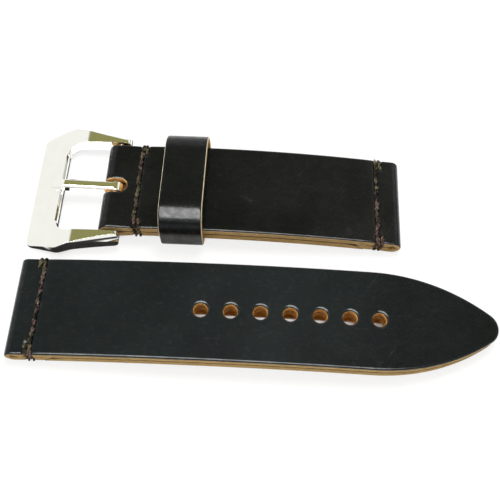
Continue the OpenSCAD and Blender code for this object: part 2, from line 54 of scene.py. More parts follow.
class Wire:
    """A shader socket that takes part in sums: each operator adds the Math node it needs."""

    def __init__(self, tree, socket):
        self.tree, self.socket = tree, socket

    def also(self, out):
        """Another output of the same node."""
        return Wire(self.tree, self.socket.node.outputs[out])

    def math(self, operation, *terms):
        node = self.tree.nodes.new("ShaderNodeMath")
        node.operation = operation
        for slot, term in zip(node.inputs, terms):
            plug(self.tree, slot, term)
        return Wire(self.tree, node.outputs[0])

    def __add__(self, other):
        return self.math("ADD", self, other)

    def __radd__(self, other):
        return self.math("ADD", other, self)

    def __sub__(self, other):
        return self.math("SUBTRACT", self, other)

    def __rsub__(self, other):
        return self.math("SUBTRACT", other, self)

    def __mul__(self, other):
        return self.math("MULTIPLY", self, other)

    def __rmul__(self, other):
        return self.math("MULTIPLY", other, self)

    def __truediv__(self, other):
        return self.math("DIVIDE", self, other)

    def wave(self):
        return self.math("SINE", self)

    def most(self, other):
        return self.math("MAXIMUM", self, other)

    def ease(self, low, high):
        """0 below low and 1 above high, or the other way round where low is the larger."""
        node = self.tree.nodes.new("ShaderNodeMapRange")
        node.interpolation_type = "SMOOTHSTEP"
        for name, value in (("Value", self), ("From Min", min(low, high)),
                            ("From Max", max(low, high)), ("To Min", float(low > high)),
                            ("To Max", float(low <= high))):
            plug(self.tree, node.inputs[name], value)
        return Wire(self.tree, node.outputs[0])

    def within(self, low, high, soft):
        """1 between two values, falling to 0 over a soft margin outside them."""
        return self.ease(low - soft, low) * self.ease(high + soft, high)


def plug(tree, socket, value):
    """Links a wire to a socket, or writes a plain value on it."""
    if isinstance(value, Wire):
        tree.links.new(value.socket, socket)
    else:
        socket.default_value = value


class Finish:
    """A node tree in the making: any node but a Math node comes from its node method."""

    def __init__(self, tree):
        tree.nodes.clear()
        self.tree = tree

    def node(self, kind, sockets=(), out=0, stops=(), **settings):
        made = self.tree.nodes.new(kind if "Node" in kind else "ShaderNode" + kind)
        for name, value in settings.items():
            setattr(made, name, value)
        for k, (place, colour) in enumerate(stops):
            stop = made.color_ramp.elements[k] if k < 2 else made.color_ramp.elements.new(place)
            stop.position, stop.color = place, (*colour, 1)
        for key, value in dict(sockets).items():
            plug(self.tree, made.inputs[key], value)
        return Wire(self.tree, made.outputs[out]) if made.outputs else made

    def mixed(self, share, first, second):
        """A colour between two, at a share from 0 to 1."""
        ends = [c if isinstance(c, Wire) else (*c, 1) for c in (first, second)]
        return self.node("Mix", {0: share, 6: ends[0], 7: ends[1]}, out=2, data_type="RGBA")

    def noise(self, vector, scale, detail=3.0, roughness=0.55):
        return self.node("TexNoise", {"Vector": vector, "Scale": scale, "Detail": detail,
                                      "Roughness": roughness})

    def stretched(self, vector, x, y, z):
        """The same coordinates multiplied along each axis."""
        return self.node("VectorMath", {0: vector, 1: (x, y, z)}, operation="MULTIPLY")


def new_finish(name):
    material = bpy.data.materials.new(name)
    material.use_nodes = True
    return material, Finish(material.node_tree)


def seen_directly(finish):
    """Two wires, 1 for a look from the camera and 1 for a look by way of a mirror or glass."""
    camera = finish.node("LightPath", out="Is Camera Ray")
    return camera, camera.also("Is Glossy Ray").most(camera.also("Is Transmission Ray"))


scene = bpy.context.scene
scene.view_settings.view_transform = "Standard"
world = bpy.data.worlds.new("room")
scene.world = world
world.use_nodes = True
room = Finish(world.node_tree)
facing = room.node("SeparateXYZ", {0: room.node("TexCoord", out="Generated")})
towards_x, towards_y, height = (facing.also(axis) for axis in "XYZ")
# Mirrors see a room that was laid out by trial to give the photo's reflections. It isn't the
# white that the camera sees.
PALE_WALL, OLIVE_CEILING, DARK_EDGE = (0.95, 0.95, 0.90), (0.27, 0.265, 0.10), (0.035, 0.03, 0.04)
WALL_LIGHT, CEILING_LIGHT = (0.85, 0.85, 0.85), (0.55, 0.55, 0.50)
overhead = height.ease(0.64, 0.76)
seen_room = room.mixed(overhead, PALE_WALL, OLIVE_CEILING)
edge_at_right = height.ease(0.27, 0.19) * towards_x.ease(0.2, 0.5)
edge_at_left = height.ease(0.15, 0.08) * towards_x.ease(-0.5, -0.7)
edge_in_front = height.within(0.24, 0.40, 0.04) * towards_y.ease(-0.6, -0.8)
table_edge = edge_at_right.most(edge_at_left).most(edge_in_front)
seen_room = room.mixed(table_edge, seen_room, DARK_EDGE)
lit_room = room.mixed(overhead, WALL_LIGHT, CEILING_LIGHT)
from_camera, from_mirror = seen_directly(room)
colour = room.mixed(from_camera, room.mixed(from_mirror, lit_room, seen_room), (1, 1, 1))
room.node("OutputWorld", {0: room.node("Background", {"Color": colour})})

# The card isn't plain. It glows white to the camera, but to mirrors it is painted black round
# the buckle's place at rest, and it is painted brown under the lining. The brown band that shows
# through the holes was placed by the photo camera's rays. This is paint for likeness, not light.
CARD_HALF, CARD_TOP = 3.0, -0.02 * MM
WHITE, IN_SHADE, UNDER_HIDE = (0.86, 0.86, 0.85), (0.02, 0.02, 0.02), (0.80, 0.36, 0.08)
card_mesh = bpy.data.meshes.new("card")
card_mesh.from_pydata([(x * CARD_HALF, y * CARD_HALF, CARD_TOP) for x, y in
                       ((-1, -1), (1, -1), (1, 1), (-1, 1))], [], [(0, 1, 2, 3)])
card = bpy.data.objects.new("card", card_mesh)
scene.collection.objects.link(card)
card_white, paper = new_finish("card_white")
from_camera, from_mirror = seen_directly(paper)
place = paper.node("TexCoord", out="Object")
spread = paper.node("VectorMath", {0: place}, out="Value", operation="LENGTH")
far_off = spread.ease(0.10, 0.30)
card_x = paper.node("SeparateXYZ", {0: place}, out="X")
card_y = card_x.also("Y")
low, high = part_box("buckle_frame")
beside = card_y.within(low.y - 7 * MM, high.y, 5 * MM)
beside = beside * card_x.within(low.x + 6 * MM, high.x, 3 * MM)
at_foot = card_y.within(low.y - 0.2 * MM, low.y + 4 * MM, 0.5 * MM)
at_foot = at_foot * card_x.within(low.x - 1 * MM, high.x, 1 * MM)
in_window = card_y.within(low.y + 5.0 * MM, high.y - 6.0 * MM, 1.5 * MM)
in_window = in_window * card_x.within(low.x + 8.2 * MM, high.x, 0.2 * MM)
shaded = from_mirror * beside.most(at_foot) * (1 - in_window)
closed_in = paper.node("AmbientOcclusion", {"Distance": 8 * MM}, out="AO", samples=16)
seen_through_holes = card_y.within(-17.1 * MM, -13 * MM, 0.4 * MM)
covered = closed_in.ease(0.17, 0.12).most(closed_in.ease(0.50, 0.40) * seen_through_holes)
covered = covered * from_camera
bleached = (from_camera * (0.80 + far_off * 0.20) * (1 - covered)
            + from_mirror * (1 - shaded) * (0.45 + far_off * 0.55))
tinted = paper.mixed(covered, paper.mixed(shaded, WHITE, IN_SHADE), UNDER_HIDE)
matt = paper.node("BsdfDiffuse", {"Color": tinted})
glow = paper.node("Emission", {"Color": (1, 1, 1, 1), "Strength": 1.0})
paper.node("OutputMaterial", {0: paper.node("MixShader", {0: bleached, 1: matt, 2: glow})})
card_mesh.materials.append(card_white)


def lamp(name, direction, distance, size, watts):
    """A soft lamp of a width and a height in a direction from the strap, turned towards it."""
    light = bpy.data.lights.new(name, "AREA")
    light.shape, light.energy = "RECTANGLE", watts
    light.size, light.size_y = size
    hung = bpy.data.objects.new(name, light)
    away = Vector(direction).normalized()
    hung.location = away * distance
    hung.rotation_mode = "QUATERNION"
    hung.rotation_quaternion = away.to_track_quat("Z", "Y")
    scene.collection.objects.link(hung)
    return hung


key_lamp = lamp("key_lamp", (0.10, 0.30, 1.0), 0.55, (0.20, 0.20), 2.6)
fill_lamp = lamp("fill_lamp", (-1.0, -0.25, 0.45), 0.60, (0.35, 0.35), 1.0)
key_lamp.visible_glossy = fill_lamp.visible_glossy = False
softbox = lamp("softbox", (-0.12, -0.46, 0.88), 0.55, (0.60, 0.42), 13.0)
softbox.visible_diffuse = False

# The camera was fitted to the edges of the strap in the photo: 500 pixels wide, looking 63
# degrees down over the long piece, and turned a little in the picture.
FOCAL_PIXELS, PICTURE_PIXELS, SENSOR = 754.18, 500, 36.0
CAMERA_AT = Vector((1.096, -84.306, 166.512)) * MM
DOWN, ROLL, HEADING = math.radians(62.999), math.radians(1.384), math.radians(1.612)
ahead = Vector((0, math.cos(DOWN), -math.sin(DOWN)))
right = Vector((1, 0, 0))
up = right.cross(ahead)
across = right * math.cos(ROLL) + up * math.sin(ROLL)
above = up * math.cos(ROLL) - right * math.sin(ROLL)
turned = Matrix.Rotation(HEADING, 3, "Z")
axes = Matrix([turned @ across, turned @ above, turned @ -ahead]).transposed()
camera = bpy.data.objects.new("camera", bpy.data.cameras.new("camera"))
camera.data.sensor_width = SENSOR
camera.data.lens = FOCAL_PIXELS / PICTURE_PIXELS * SENSOR
camera.data.clip_start, camera.data.clip_end = 0.01, 20
camera.matrix_world = Matrix.Translation(CAMERA_AT) @ axes.to_4x4()
scene.collection.objects.link(camera)
scene.camera = camera


# Long piece, black side. One thick hide, glossy black on its grain side and raw tan at its cut
# edges. It runs from the tip to the lug fold, round the bore for the watch's spring bar and
# back under itself, where its thinned end is glued down.
LAYER, SEAM, SKIVE, WIDTH = 2.1, 0.1, 2.4, 24.0
THICK = 2 * LAYER + SEAM
MIDDLE = THICK / 2
LUG_FOLD = dict(fold_r=MIDDLE, reach=2 * MIDDLE, bore_r=0.95, slit_len=2.4, flap_len=11.0)
THIN_END, ALONG_STEP, ACROSS_STEP = 0.06, 0.9, 0.75


def along_line(points, share):
    """The point at a share of the length of a line through points."""
    lengths = [math.dist(a, b) for a, b in zip(points, points[1:])]
    left = share * sum(lengths)
    for (a, b), length in zip(zip(points, points[1:]), lengths):
        if left <= length:
            k = left / length
            return (a[0] + (b[0] - a[0]) * k, a[1] + (b[1] - a[1]) * k)
        left -= length
    return points[-1]


def steps(first, last, step):
    """Evenly spaced values from first to last, both included, about a step apart."""
    count = max(1, round(abs(last - first) / step))
    return [first + (last - first) * k / count for k in range(count + 1)]


def fold_stations(fold_r, reach, bore_r, slit_len, flap_len):
    """Points (s, n) on the grain side and the flesh side, from the thinned end round the fold."""
    turn = math.atan2(MIDDLE, reach - fold_r)
    turn += math.acos(fold_r / math.hypot(reach - fold_r, MIDDLE))
    gape, slit = math.radians(27), fold_r + slit_len
    start = max(reach, slit)

    def ring(r, angle):
        return (fold_r + r * math.cos(angle), MIDDLE + r * math.sin(angle))

    pairs = [((flap_len - SKIVE * t, (LAYER - THIN_END) * (1 - t)), (flap_len - SKIVE * t, LAYER))
             for t in steps(0, 1, 0.15)]
    pairs += [((s, 0), (s, LAYER)) for s in steps(flap_len - SKIVE, start, 0.7)[1:]]
    grain = [(start, 0), ring(fold_r, -turn)]
    flesh = [(start, LAYER), (slit, LAYER), ring(bore_r * 0.97, -gape)]
    pairs += [(along_line(grain, t), along_line(flesh, t)) for t in steps(0, 1, 0.12)[1:]]
    pairs += [(ring(fold_r, -turn - (2 * math.pi - 2 * turn) * t),
               ring(bore_r, -gape - (2 * math.pi - 2 * gape) * t)) for t in steps(0, 1, 0.03)]
    grain = [ring(fold_r, turn), (start, THICK)]
    flesh = [ring(bore_r * 0.97, gape), (slit, LAYER + SEAM), (start, LAYER + SEAM)]
    pairs += [(along_line(grain, t), along_line(flesh, t)) for t in steps(0, 1, 0.12)[1:]]
    run = [0.0]
    for (a, _), (b, _) in zip(pairs, pairs[1:]):
        run.append(run[-1] + max(0.02, math.dist(a, b)))
    return [(start + r - run[-1], *pair) for r, pair in zip(run, pairs)]


def mirrored(stations, length):
    """The same fold at the other end of a piece."""
    return [(length - u, (length - a[0], a[1]), (length - b[0], b[1]))
            for u, a, b in reversed(stations)]


class Hide:
    """A sheet of leather as drawn flat on the bench: where each flat point goes when it is bent.

    u runs along the grain side, y across it, and depth is 0 on the grain side and 1 on the
    flesh side. Stations are (u, grain point, flesh point), in the side view of the strap."""

    def __init__(self, stations, arch):
        self.stations, self.arch = stations, arch
        self.runs = [s[0] for s in stations]

    def side_view(self, u):
        k = min(max(np.searchsorted(self.runs, u) - 1, 0), len(self.runs) - 2)
        (u0, a0, b0), (u1, a1, b1) = self.stations[k], self.stations[k + 1]
        t = (u - u0) / (u1 - u0)
        return Vector(a0).lerp(Vector(a1), t), Vector(b0).lerp(Vector(b1), t)

    def place(self, u, y, depth, lift=0.0):
        grain, flesh = self.side_view(u)
        out = (grain - flesh).normalized()
        return self.arch(*(grain.lerp(flesh, depth) + out * lift), y)


def arch(top_s, radius, centre, middle_y):
    """The arch that a piece stands in: s along its underside, n out of it, y across it."""

    def bend(s, n, y):
        angle = (s - top_s) / radius
        return Vector((centre[0] + (radius + n) * math.sin(angle), middle_y + y,
                       centre[1] + (radius + n) * math.cos(angle))) * MM

    return bend


def drawn_in(points, depth):
    """An outline moved towards its left by a depth, so inwards if it runs anticlockwise."""
    moved = []
    for i, p in enumerate(points):
        a, b = points[i - 1], points[(i + 1) % len(points)]
        u, v = Vector(p) - Vector(a), Vector(b) - Vector(p)
        left = [Vector((-d.y, d.x)).normalized() for d in (u, v)]
        normal = (left[0] + left[1]).normalized()
        moved.append(Vector(p) + normal * depth / max(0.5, normal.dot(left[1])))
    return moved


def nearest_edge(points, loops):
    """How far each flat point lies from the nearest of some outlines, and which one that is."""
    points, best = np.array(points, float), np.full(len(points), 1e9)
    which = np.zeros(len(points), int)
    for number, loop in enumerate(loops):
        a = np.array([tuple(p) for p in loop], float)
        d = np.roll(a, -1, 0) - a
        for start, along in zip(a, d):
            rel = points - start
            t = np.clip(rel @ along / max(along @ along, 1e-12), 0, 1)
            gap = np.hypot(*(rel - t[:, None] * along).T)
            which[gap < best] = number
            best = np.minimum(best, gap)
    return best, which


def enclosed(points, loops):
    """Which flat points lie inside the first outline and outside the others."""
    points, inside = np.array(points, float), np.zeros(len(points), bool)
    x, y = points.T
    for loop in loops:
        a = np.array([tuple(p) for p in loop], float)
        for (x0, y0), (x1, y1) in zip(a, np.roll(a, -1, 0)):
            if y0 != y1:
                inside ^= ((y0 > y) != (y1 > y)) & (x < (x1 - x0) * (y - y0) / (y1 - y0) + x0)
    return inside


FLAT_DEPTH, LIP_WIDTH, CLEAR_OF_EDGE = 2.0, 2.0, 0.22


def cut_sheet(name, hide, loops, grid, shape=None):
    """Cuts a sheet from flat outlines and bends it.

    Each loop is (points, levels, depth at which the dye ends), the outside anticlockwise and
    each hole clockwise, and its levels are (inset, depth) from the grain side down the cut edge
    to the flesh side. The grid is the flat points that the two sides are divided at. The shape,
    if there is one, gives the lift and the sideways move of a flat point (u, y, depth, distance
    from the edge). The sheet keeps, as "flat", each point's flat place with its depth in the
    raw part of the cut, and, as "lip", how near it is to a hole's edge."""
    mesh_parts = bmesh.new()
    for side in (0, -1):
        rings = [drawn_in(points, levels[side][0]) for points, levels, _ in loops]
        gaps, _ = nearest_edge(grid, rings)
        flat = [p for p, ok, gap in zip(grid, enclosed(grid, rings), gaps)
                if ok and gap > CLEAR_OF_EDGE]
        corners, edges = [], []
        for ring in rings:
            first = len(corners)
            corners += [Vector(p) for p in ring]
            edges += [(first + i, first + (i + 1) % len(ring)) for i in range(len(ring))]
        corners += [Vector(p) for p in flat]
        points, _, faces, *_ = delaunay(corners, edges, [], 0, 1e-7)
        middles = [sum((points[i] for i in f), Vector((0, 0))) / len(f) for f in faces]
        height = -loops[0][1][side][1] * FLAT_DEPTH
        made = [mesh_parts.verts.new((*p, height)) for p in points]
        for face, ok in zip(faces, enclosed(middles, rings)):
            if ok:
                mesh_parts.faces.new([made[i] for i in face])
        for vert in [v for v in made if not v.link_faces]:
            mesh_parts.verts.remove(vert)
    for points, levels, _ in loops:
        walls = [[mesh_parts.verts.new((*p, -depth * FLAT_DEPTH)) for p in drawn_in(points, inset)]
                 for inset, depth in levels]
        for upper, lower in zip(walls, walls[1:]):
            for i in range(len(points)):
                j = (i + 1) % len(points)
                mesh_parts.faces.new((upper[i], lower[i], lower[j], upper[j]))
    bmesh.ops.remove_doubles(mesh_parts, verts=mesh_parts.verts, dist=1e-4)
    bmesh.ops.recalc_face_normals(mesh_parts, faces=mesh_parts.faces)
    flat_layer = mesh_parts.verts.layers.float_vector.new("flat")
    lip_layer = mesh_parts.verts.layers.float.new("lip")
    verts = list(mesh_parts.verts)
    gaps, which = nearest_edge([v.co.xy for v in verts], [loop[0] for loop in loops])
    for v, gap, number in zip(verts, gaps, which):
        u, y, depth = v.co.x, v.co.y, -v.co.z / FLAT_DEPTH
        lift, shift = shape(u, y, depth, gap) if shape else (0.0, 0.0)
        grain, flesh = hide.side_view(u)
        dyed = loops[number][2]
        v[flat_layer] = Vector((u, y, max(0, depth - dyed) / (1 - dyed) * (grain - flesh).length))
        v[lip_layer] = max(0.0, 1 - gap / LIP_WIDTH) if number else 0.0
        v.co = hide.place(u, y + shift, depth, lift)
    bmesh.ops.recalc_face_normals(mesh_parts, faces=mesh_parts.faces)
    mesh = bpy.data.meshes.new(name)
    mesh_parts.to_mesh(mesh)
    mesh_parts.free()
    mesh.shade_smooth()
    piece = bpy.data.objects.new(name, mesh)
    scene.collection.objects.link(piece)
    return piece


def strip_outline(runs, half, tip=()):
    """The flat outline of a strip, anticlockwise, with its right end square or pointed."""
    ends = steps(-half, half, 1.0)[1:-1]
    return ([(u, -half) for u in runs] + list(tip or [(runs[-1], y) for y in ends])
            + [(u, half) for u in reversed(runs)] + [(runs[0], y) for y in reversed(ends)])


def ring_points(u, y, radius, count=36):
    """A round hole's outline, clockwise."""
    return [(u + radius * math.cos(a), y + radius * math.sin(a))
            for a in (-2 * math.pi * k / count for k in range(count))]


# Where the thread lies, it has pulled the hide down and in, most of all at the awl's holes.
HOLE_Y = [-9.6, -4.8, 0.0, 4.8, 9.6]
TURN_GAP, GROOVE_WIDTH, GROOVE_DEPTH, HOLLOW_DEPTH, AWL_DEPTH = 1.1, 0.42, 0.40, 0.10, 0.35
TURNS_FROM = 9.1


def near_thread(u):
    """Extra places along the hide at which it is divided, to take a line of stitches."""
    return [u + k * 0.17 for k in range(-14, 15)]


def pulled_by(lines):
    """The shape of hide under lines of stitches, each line (u, side of the second turn)."""

    def shape(u, y, depth, gap):
        lift = shift = 0.0
        for line, turn in lines:
            d = u - line
            if abs(d) > 6:
                continue
            pull = math.exp(-(d / GROOVE_WIDTH) ** 2)
            if abs(y) > TURNS_FROM:
                pull = max(pull, math.exp(-((d - turn * TURN_GAP) / GROOVE_WIDTH) ** 2))
            lift -= GROOVE_DEPTH * pull + HOLLOW_DEPTH * math.exp(-(d / 1.6) ** 2)
            for hole in HOLE_Y:
                lift -= AWL_DEPTH * math.exp(-(d * d + (y - hole) ** 2) / 0.3)
            if gap < 0.5:
                shift -= math.copysign(GROOVE_DEPTH * pull, y)
        return lift * max(0.0, 1 - depth * 1.6), shift

    return shape


def under_run(hide, s):
    """Where the grain side of the flap passes back under a point s of the strap."""
    u, grain = next((u, grain) for u, grain, _ in hide.stations
                    if grain[1] < 0.01 and grain[0] <= s)
    return u + grain[0] - s


# The edges' profiles, as (inset, share of the thickness) from the grain side down.
BEVELLED = [(0.46, 0.0), (0.27, 0.02), (0.12, 0.07), (0.03, 0.15), (0.0, 0.24), (0.0, 0.55),
            (0.0, 0.90), (0.05, 0.96), (0.14, 1.0)]
PUNCHED = [(0.80, 0.0), (0.60, 0.012), (0.42, 0.045), (0.26, 0.10), (0.12, 0.18), (0.03, 0.26),
           (0.0, 0.36), (0.0, 0.93), (0.06, 1.0)]
BEVEL_DYED, PUNCH_DYED = 0.36, 0.20

LONG_LENGTH, TIP_TAPER, NOSE_R = 112.4, 29.0, 4.0
long_arch = arch(57.275, 566.0, (1.62879, -563.308), -18.825)
long_fold = fold_stations(**LUG_FOLD)
long_end = (LONG_LENGTH, (LONG_LENGTH, THICK), (LONG_LENGTH, LAYER + SEAM))
long_hide = Hide(long_fold + [long_end], long_arch)


def tip_points(length):
    """The edge of the pointed tip: a flank, the round nose and the other flank."""
    half = WIDTH / 2
    flank_r = ((TIP_TAPER - NOSE_R) ** 2 + half ** 2 - NOSE_R ** 2) / (WIDTH - 2 * NOSE_R)
    sweep = math.atan2(TIP_TAPER - NOSE_R, flank_r - half)
    flank = [(length - TIP_TAPER + flank_r * math.sin(a), half - flank_r + flank_r * math.cos(a))
             for a in steps(0, sweep, 0.018)]
    nose = [(length - NOSE_R + NOSE_R * math.cos(a), NOSE_R * math.sin(a))
            for a in steps(sweep - math.pi / 2, math.pi / 2 - sweep, 0.12)]
    return [(u, -y) for u, y in flank[1:]] + nose[1:-1] + flank[:0:-1]


HOLE_COUNT, HOLE_PITCH, HOLE_FROM_TIP, HOLE_R = 7, 6.8, 27.6, 1.6
hole_places = [LONG_LENGTH - HOLE_FROM_TIP - k * HOLE_PITCH for k in range(HOLE_COUNT)]
LUG_STITCH_AT = 6.2
long_lines = [(LUG_STITCH_AT, -1), (under_run(long_hide, LUG_STITCH_AT), 1)]


def tidy_runs(*lists):
    """Sorted places along a piece, with those that nearly coincide left out."""
    kept = []
    for u in sorted(u for values in lists for u in values):
        if not kept or u - kept[-1] > 0.05:
            kept.append(u)
    return kept


def between(values, low, high):
    return [u for u in values if low <= u <= high]


straight_end = LONG_LENGTH - TIP_TAPER
long_runs = tidy_runs(long_hide.runs[:-1], steps(long_fold[-1][0], straight_end, ALONG_STEP),
                      *(near_thread(u) for u, _ in long_lines))
grid = [(u, y) for u in long_runs + steps(straight_end, LONG_LENGTH, ALONG_STEP)[1:]
        for y in steps(-WIDTH / 2, WIDTH / 2, ACROSS_STEP)]
grid += [p for u in hole_places for r in (2.9, 3.4) for p in ring_points(u, 0, r, 24)]
tip = tip_points(LONG_LENGTH)
long_leather = cut_sheet(
    "long_black_leather", long_hide,
    [(strip_outline(long_runs, WIDTH / 2, tip), BEVELLED, BEVEL_DYED)]
    + [(ring_points(u, 0, HOLE_R), PUNCHED, PUNCH_DYED) for u in hole_places],
    grid, pulled_by(long_lines))


SCUFFED, DUSTED, GLUE_LINE = (0.026, 0.028, 0.029), (0.16, 0.15, 0.14), (0.045, 0.020, 0.008)
PALE_EDGE_TOP = (0.64, 0.55, 0.41)


def black_leather(name, dye, mottle_and_sheen_dye, sheen_from, sheen_to, pale_top):
    """Dyed hide with a waxen gloss, its black mottled at random and, as a painted sheen, lighter
    between two places along the piece. The cut edges are raw tan, paler towards their rounded top
    by a share set for each piece."""
    material, hide = new_finish(name)
    place = hide.node("TexCoord", out="Object")
    flat = hide.node("Attribute", out="Vector", attribute_name="flat")
    lip = hide.node("Attribute", out="Fac", attribute_name="lip")
    cut_depth = hide.node("SeparateXYZ", {0: flat}, out="Z")
    clouds = hide.noise(place, 60, 4)
    pores = hide.noise(place, 1500, 3, 0.6)
    ripple = hide.noise(hide.stretched(place, 420, 620, 420), 1.0, 2)
    creases = hide.noise(hide.stretched(place, 260, 900, 400), 1.0, 4, 0.65)
    turned = hide.node("VectorRotate", {"Vector": place, "Angle": 0.6})
    scuffs = hide.noise(hide.stretched(turned, 1300, 60, 60), 1.0, 2).ease(0.66, 0.74)
    rubbed = hide.noise(place, 45, 3).ease(0.52, 0.66)
    grime = hide.noise(hide.stretched(place, 700, 1100, 1100), 1.0, 4, 0.7).ease(0.45, 0.7)
    dust = hide.noise(place, 2600, 1).ease(0.80, 0.84) * rubbed
    # Painted sheen: between two places along the piece the black turns lighter, towards the second
    # colour.
    along = hide.node("SeparateXYZ", {0: place}, out="X").ease(sheen_from * MM, sheen_to * MM)
    dyed = hide.mixed(clouds.ease(0.35, 0.68) * 0.45 + along * 0.55, dye, mottle_and_sheen_dye)
    smudges = hide.noise(place, 150, 3).ease(0.66, 0.80)
    dyed = hide.mixed(creases.ease(0.60, 0.80) * 0.22 + scuffs * rubbed * 0.5 + smudges * 0.4,
                      dyed, SCUFFED)
    dyed = hide.mixed(dust * 0.8, dyed, DUSTED)
    fibres = hide.noise(hide.stretched(flat, 0.6, 0.6, 5.0), 1.0, 5, 0.7)
    raw = hide.node("ValToRGB", {0: fibres}, stops=(
        (0.28, (0.14, 0.070, 0.020)), (0.48, (0.34, 0.215, 0.072)), (0.72, (0.52, 0.37, 0.16))))
    # Painted light: near a hole the cut edge turns a strong orange, from deep brown to bright,
    # standing in for the shade and the warm bounced light inside the hole.
    hole_wall_painted_light = hide.mixed(fibres.ease(0.40, 0.60), (0.27, 0.115, 0.022), (0.78, 0.42, 0.10))
    raw = hide.mixed(lip.ease(0.3, 0.6), raw, hole_wall_painted_light)
    # The cut edge turns paler towards its rounded top, by a share set for each piece.
    paler_top = cut_depth.ease(0.42, 0.16) * pale_top
    edge = hide.mixed(paler_top, raw, PALE_EDGE_TOP)
    edge = hide.mixed(cut_depth.ease(1.88, 2.06), edge, GLUE_LINE)
    bare = (cut_depth + (fibres - 0.5) * 0.05).ease(0.01, 0.05)
    pressed = lip.ease(0.60, 0.85) * (1 - bare)
    glaze = (ripple * 0.9 + creases * 0.5 + pores * 0.5).ease(0.75, 1.15) * (0.24 - grime * 0.14)
    bump = hide.node("Bump", {"Strength": 1.0, "Distance": 0.00003, "Height":
                              pores * 0.5 + ripple * 0.9 + creases * 0.6 + fibres * bare * 3})
    skin = hide.node("BsdfPrincipled", {
        "Base Color": hide.mixed(bare, dyed, edge),
        "Roughness": 0.19 + clouds * 0.08 + grime * 0.08 + bare * 0.45,
        "Specular IOR Level": 0.13, "Coat Roughness": 0.16, "Normal": bump,
        "Coat Weight": (1 - bare) * (0.03 + clouds * 0.12 + glaze) + pressed * 0.16})
    hide.node("OutputMaterial", {0: skin})
    return material


long_black = black_leather("long_black_hide", (0.0038, 0.0048, 0.0060),
                           (0.0070, 0.0100, 0.0118), 45, -5, 0.0)
long_leather.data.materials.append(long_black)
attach(long_leather, "long_strap")
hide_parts("long_outer_leather")


# Long piece, tan lining. An undyed hide of the same thickness, glued to the back of the black
# one from its thinned end to the tip, and cut and punched together with it.
LINED = [(0.16, 0.0), (0.05, 0.03), (0.0, 0.09), (0.0, 0.5), (0.0, 0.92), (0.05, 0.97),
         (0.13, 1.0)]


def lining_stations(flap_left, length, flap_right=None):
    """Points on the underside and on the glued side, whose ends fit the thinned flaps."""
    first = flap_left + SEAM - SKIVE
    last = length if flap_right is None else length - flap_right - SEAM + SKIVE
    stations = []
    for u in tidy_runs(steps(first, last, ALONG_STEP)):
        lean = SKIVE * max(0.0, 1 - (u - first) / 5)
        if flap_right is not None:
            lean -= SKIVE * max(0.0, 1 - (last - u) / 5)
        stations.append((u, (u, 0), (u + lean, LAYER)))
    return stations


long_lining_hide = Hide(lining_stations(LUG_FOLD["flap_len"], LONG_LENGTH), long_arch)
runs = tidy_runs(between(long_lining_hide.runs, -99, straight_end - 0.3), [straight_end])
grid = [(u, y) for u in runs + steps(straight_end, LONG_LENGTH, ALONG_STEP)[1:]
        for y in steps(-WIDTH / 2, WIDTH / 2, 2 * ACROSS_STEP)]
long_lining = cut_sheet(
    "long_tan_lining", long_lining_hide,
    [(strip_outline(runs, WIDTH / 2, tip), LINED, 0.0)]
    + [(ring_points(u, 0, HOLE_R), LINED, 0.0) for u in hole_places], grid)

tan_hide, raw_side = new_finish("tan_hide")
place = raw_side.node("TexCoord", out="Object")
flat = raw_side.node("Attribute", out="Vector", attribute_name="flat")
lip = raw_side.node("Attribute", out="Fac", attribute_name="lip")
cut_depth = raw_side.node("SeparateXYZ", {0: flat}, out="Z")
fibres = raw_side.noise(raw_side.stretched(flat, 0.5, 0.5, 4.0), 1.0, 5, 0.7)
clouds = raw_side.noise(place, 160, 4, 0.6)
pores = raw_side.noise(place, 1900, 3, 0.6)
smooth_side = raw_side.mixed(clouds.ease(0.35, 0.65), (0.36, 0.205, 0.085), (0.50, 0.32, 0.155))
edge = raw_side.node("ValToRGB", {0: fibres}, stops=(
    (0.30, (0.16, 0.092, 0.028)), (0.50, (0.34, 0.225, 0.085)), (0.72, (0.50, 0.36, 0.17))))
# Painted light: near a hole the cut edge turns a strong orange, from deep brown to bright,
# standing in for the shade and the warm bounced light inside the hole.
hole_wall_painted_light = raw_side.mixed(fibres.ease(0.40, 0.60), (0.28, 0.120, 0.024), (0.84, 0.46, 0.12))
edge = raw_side.mixed(lip.ease(0.3, 0.6), edge, hole_wall_painted_light)
edge = raw_side.mixed(cut_depth.ease(1.90, 2.06), edge, GLUE_LINE)
on_edge = cut_depth.ease(0.03, 0.12)
bump = raw_side.node("Bump", {"Strength": 0.4, "Distance": 0.00007,
                              "Height": pores * 0.5 + clouds + fibres * on_edge})
skin = raw_side.node("BsdfPrincipled", {
    "Base Color": raw_side.mixed(on_edge, smooth_side, edge),
    "Roughness": 0.55 + clouds * 0.2, "Specular IOR Level": 0.04, "Normal": bump})
raw_side.node("OutputMaterial", {0: skin})
long_lining.data.materials.append(tan_hide)
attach(long_lining, "long_strap")
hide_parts("long_lining_leather")


# Long piece, stitching. A brown waxed thread of twisted plies, sewn by hand through both turns
# of the hide beside the lug bore, with two turns wrapped round each edge of the strap.
THREAD_WIDTH, THREAD_SUNK, TWIST_LENGTH, THREAD_STEP, PLIES = 1.0, 0.12, 3.0, 0.16, 2
WRAP_OUT, STITCH_DIVE, STITCH_RISE = THREAD_WIDTH / 2 - THREAD_SUNK, 1.3, 0.05


def new_geometry_tree(name, inputs):
    """A Geometry Nodes tree with named inputs, and the identifiers to set them by."""
    tree = bpy.data.node_groups.new(name, "GeometryNodeTree")
    tree.interface.new_socket("Path", in_out="INPUT", socket_type="NodeSocketGeometry")
    named = {}
    for label, kind in inputs.items():
        socket = tree.interface.new_socket(label, in_out="INPUT", socket_type="NodeSocket" + kind)
        named[label] = socket.identifier
    tree.interface.new_socket("Mesh", in_out="OUTPUT", socket_type="NodeSocketGeometry")
    return tree, named


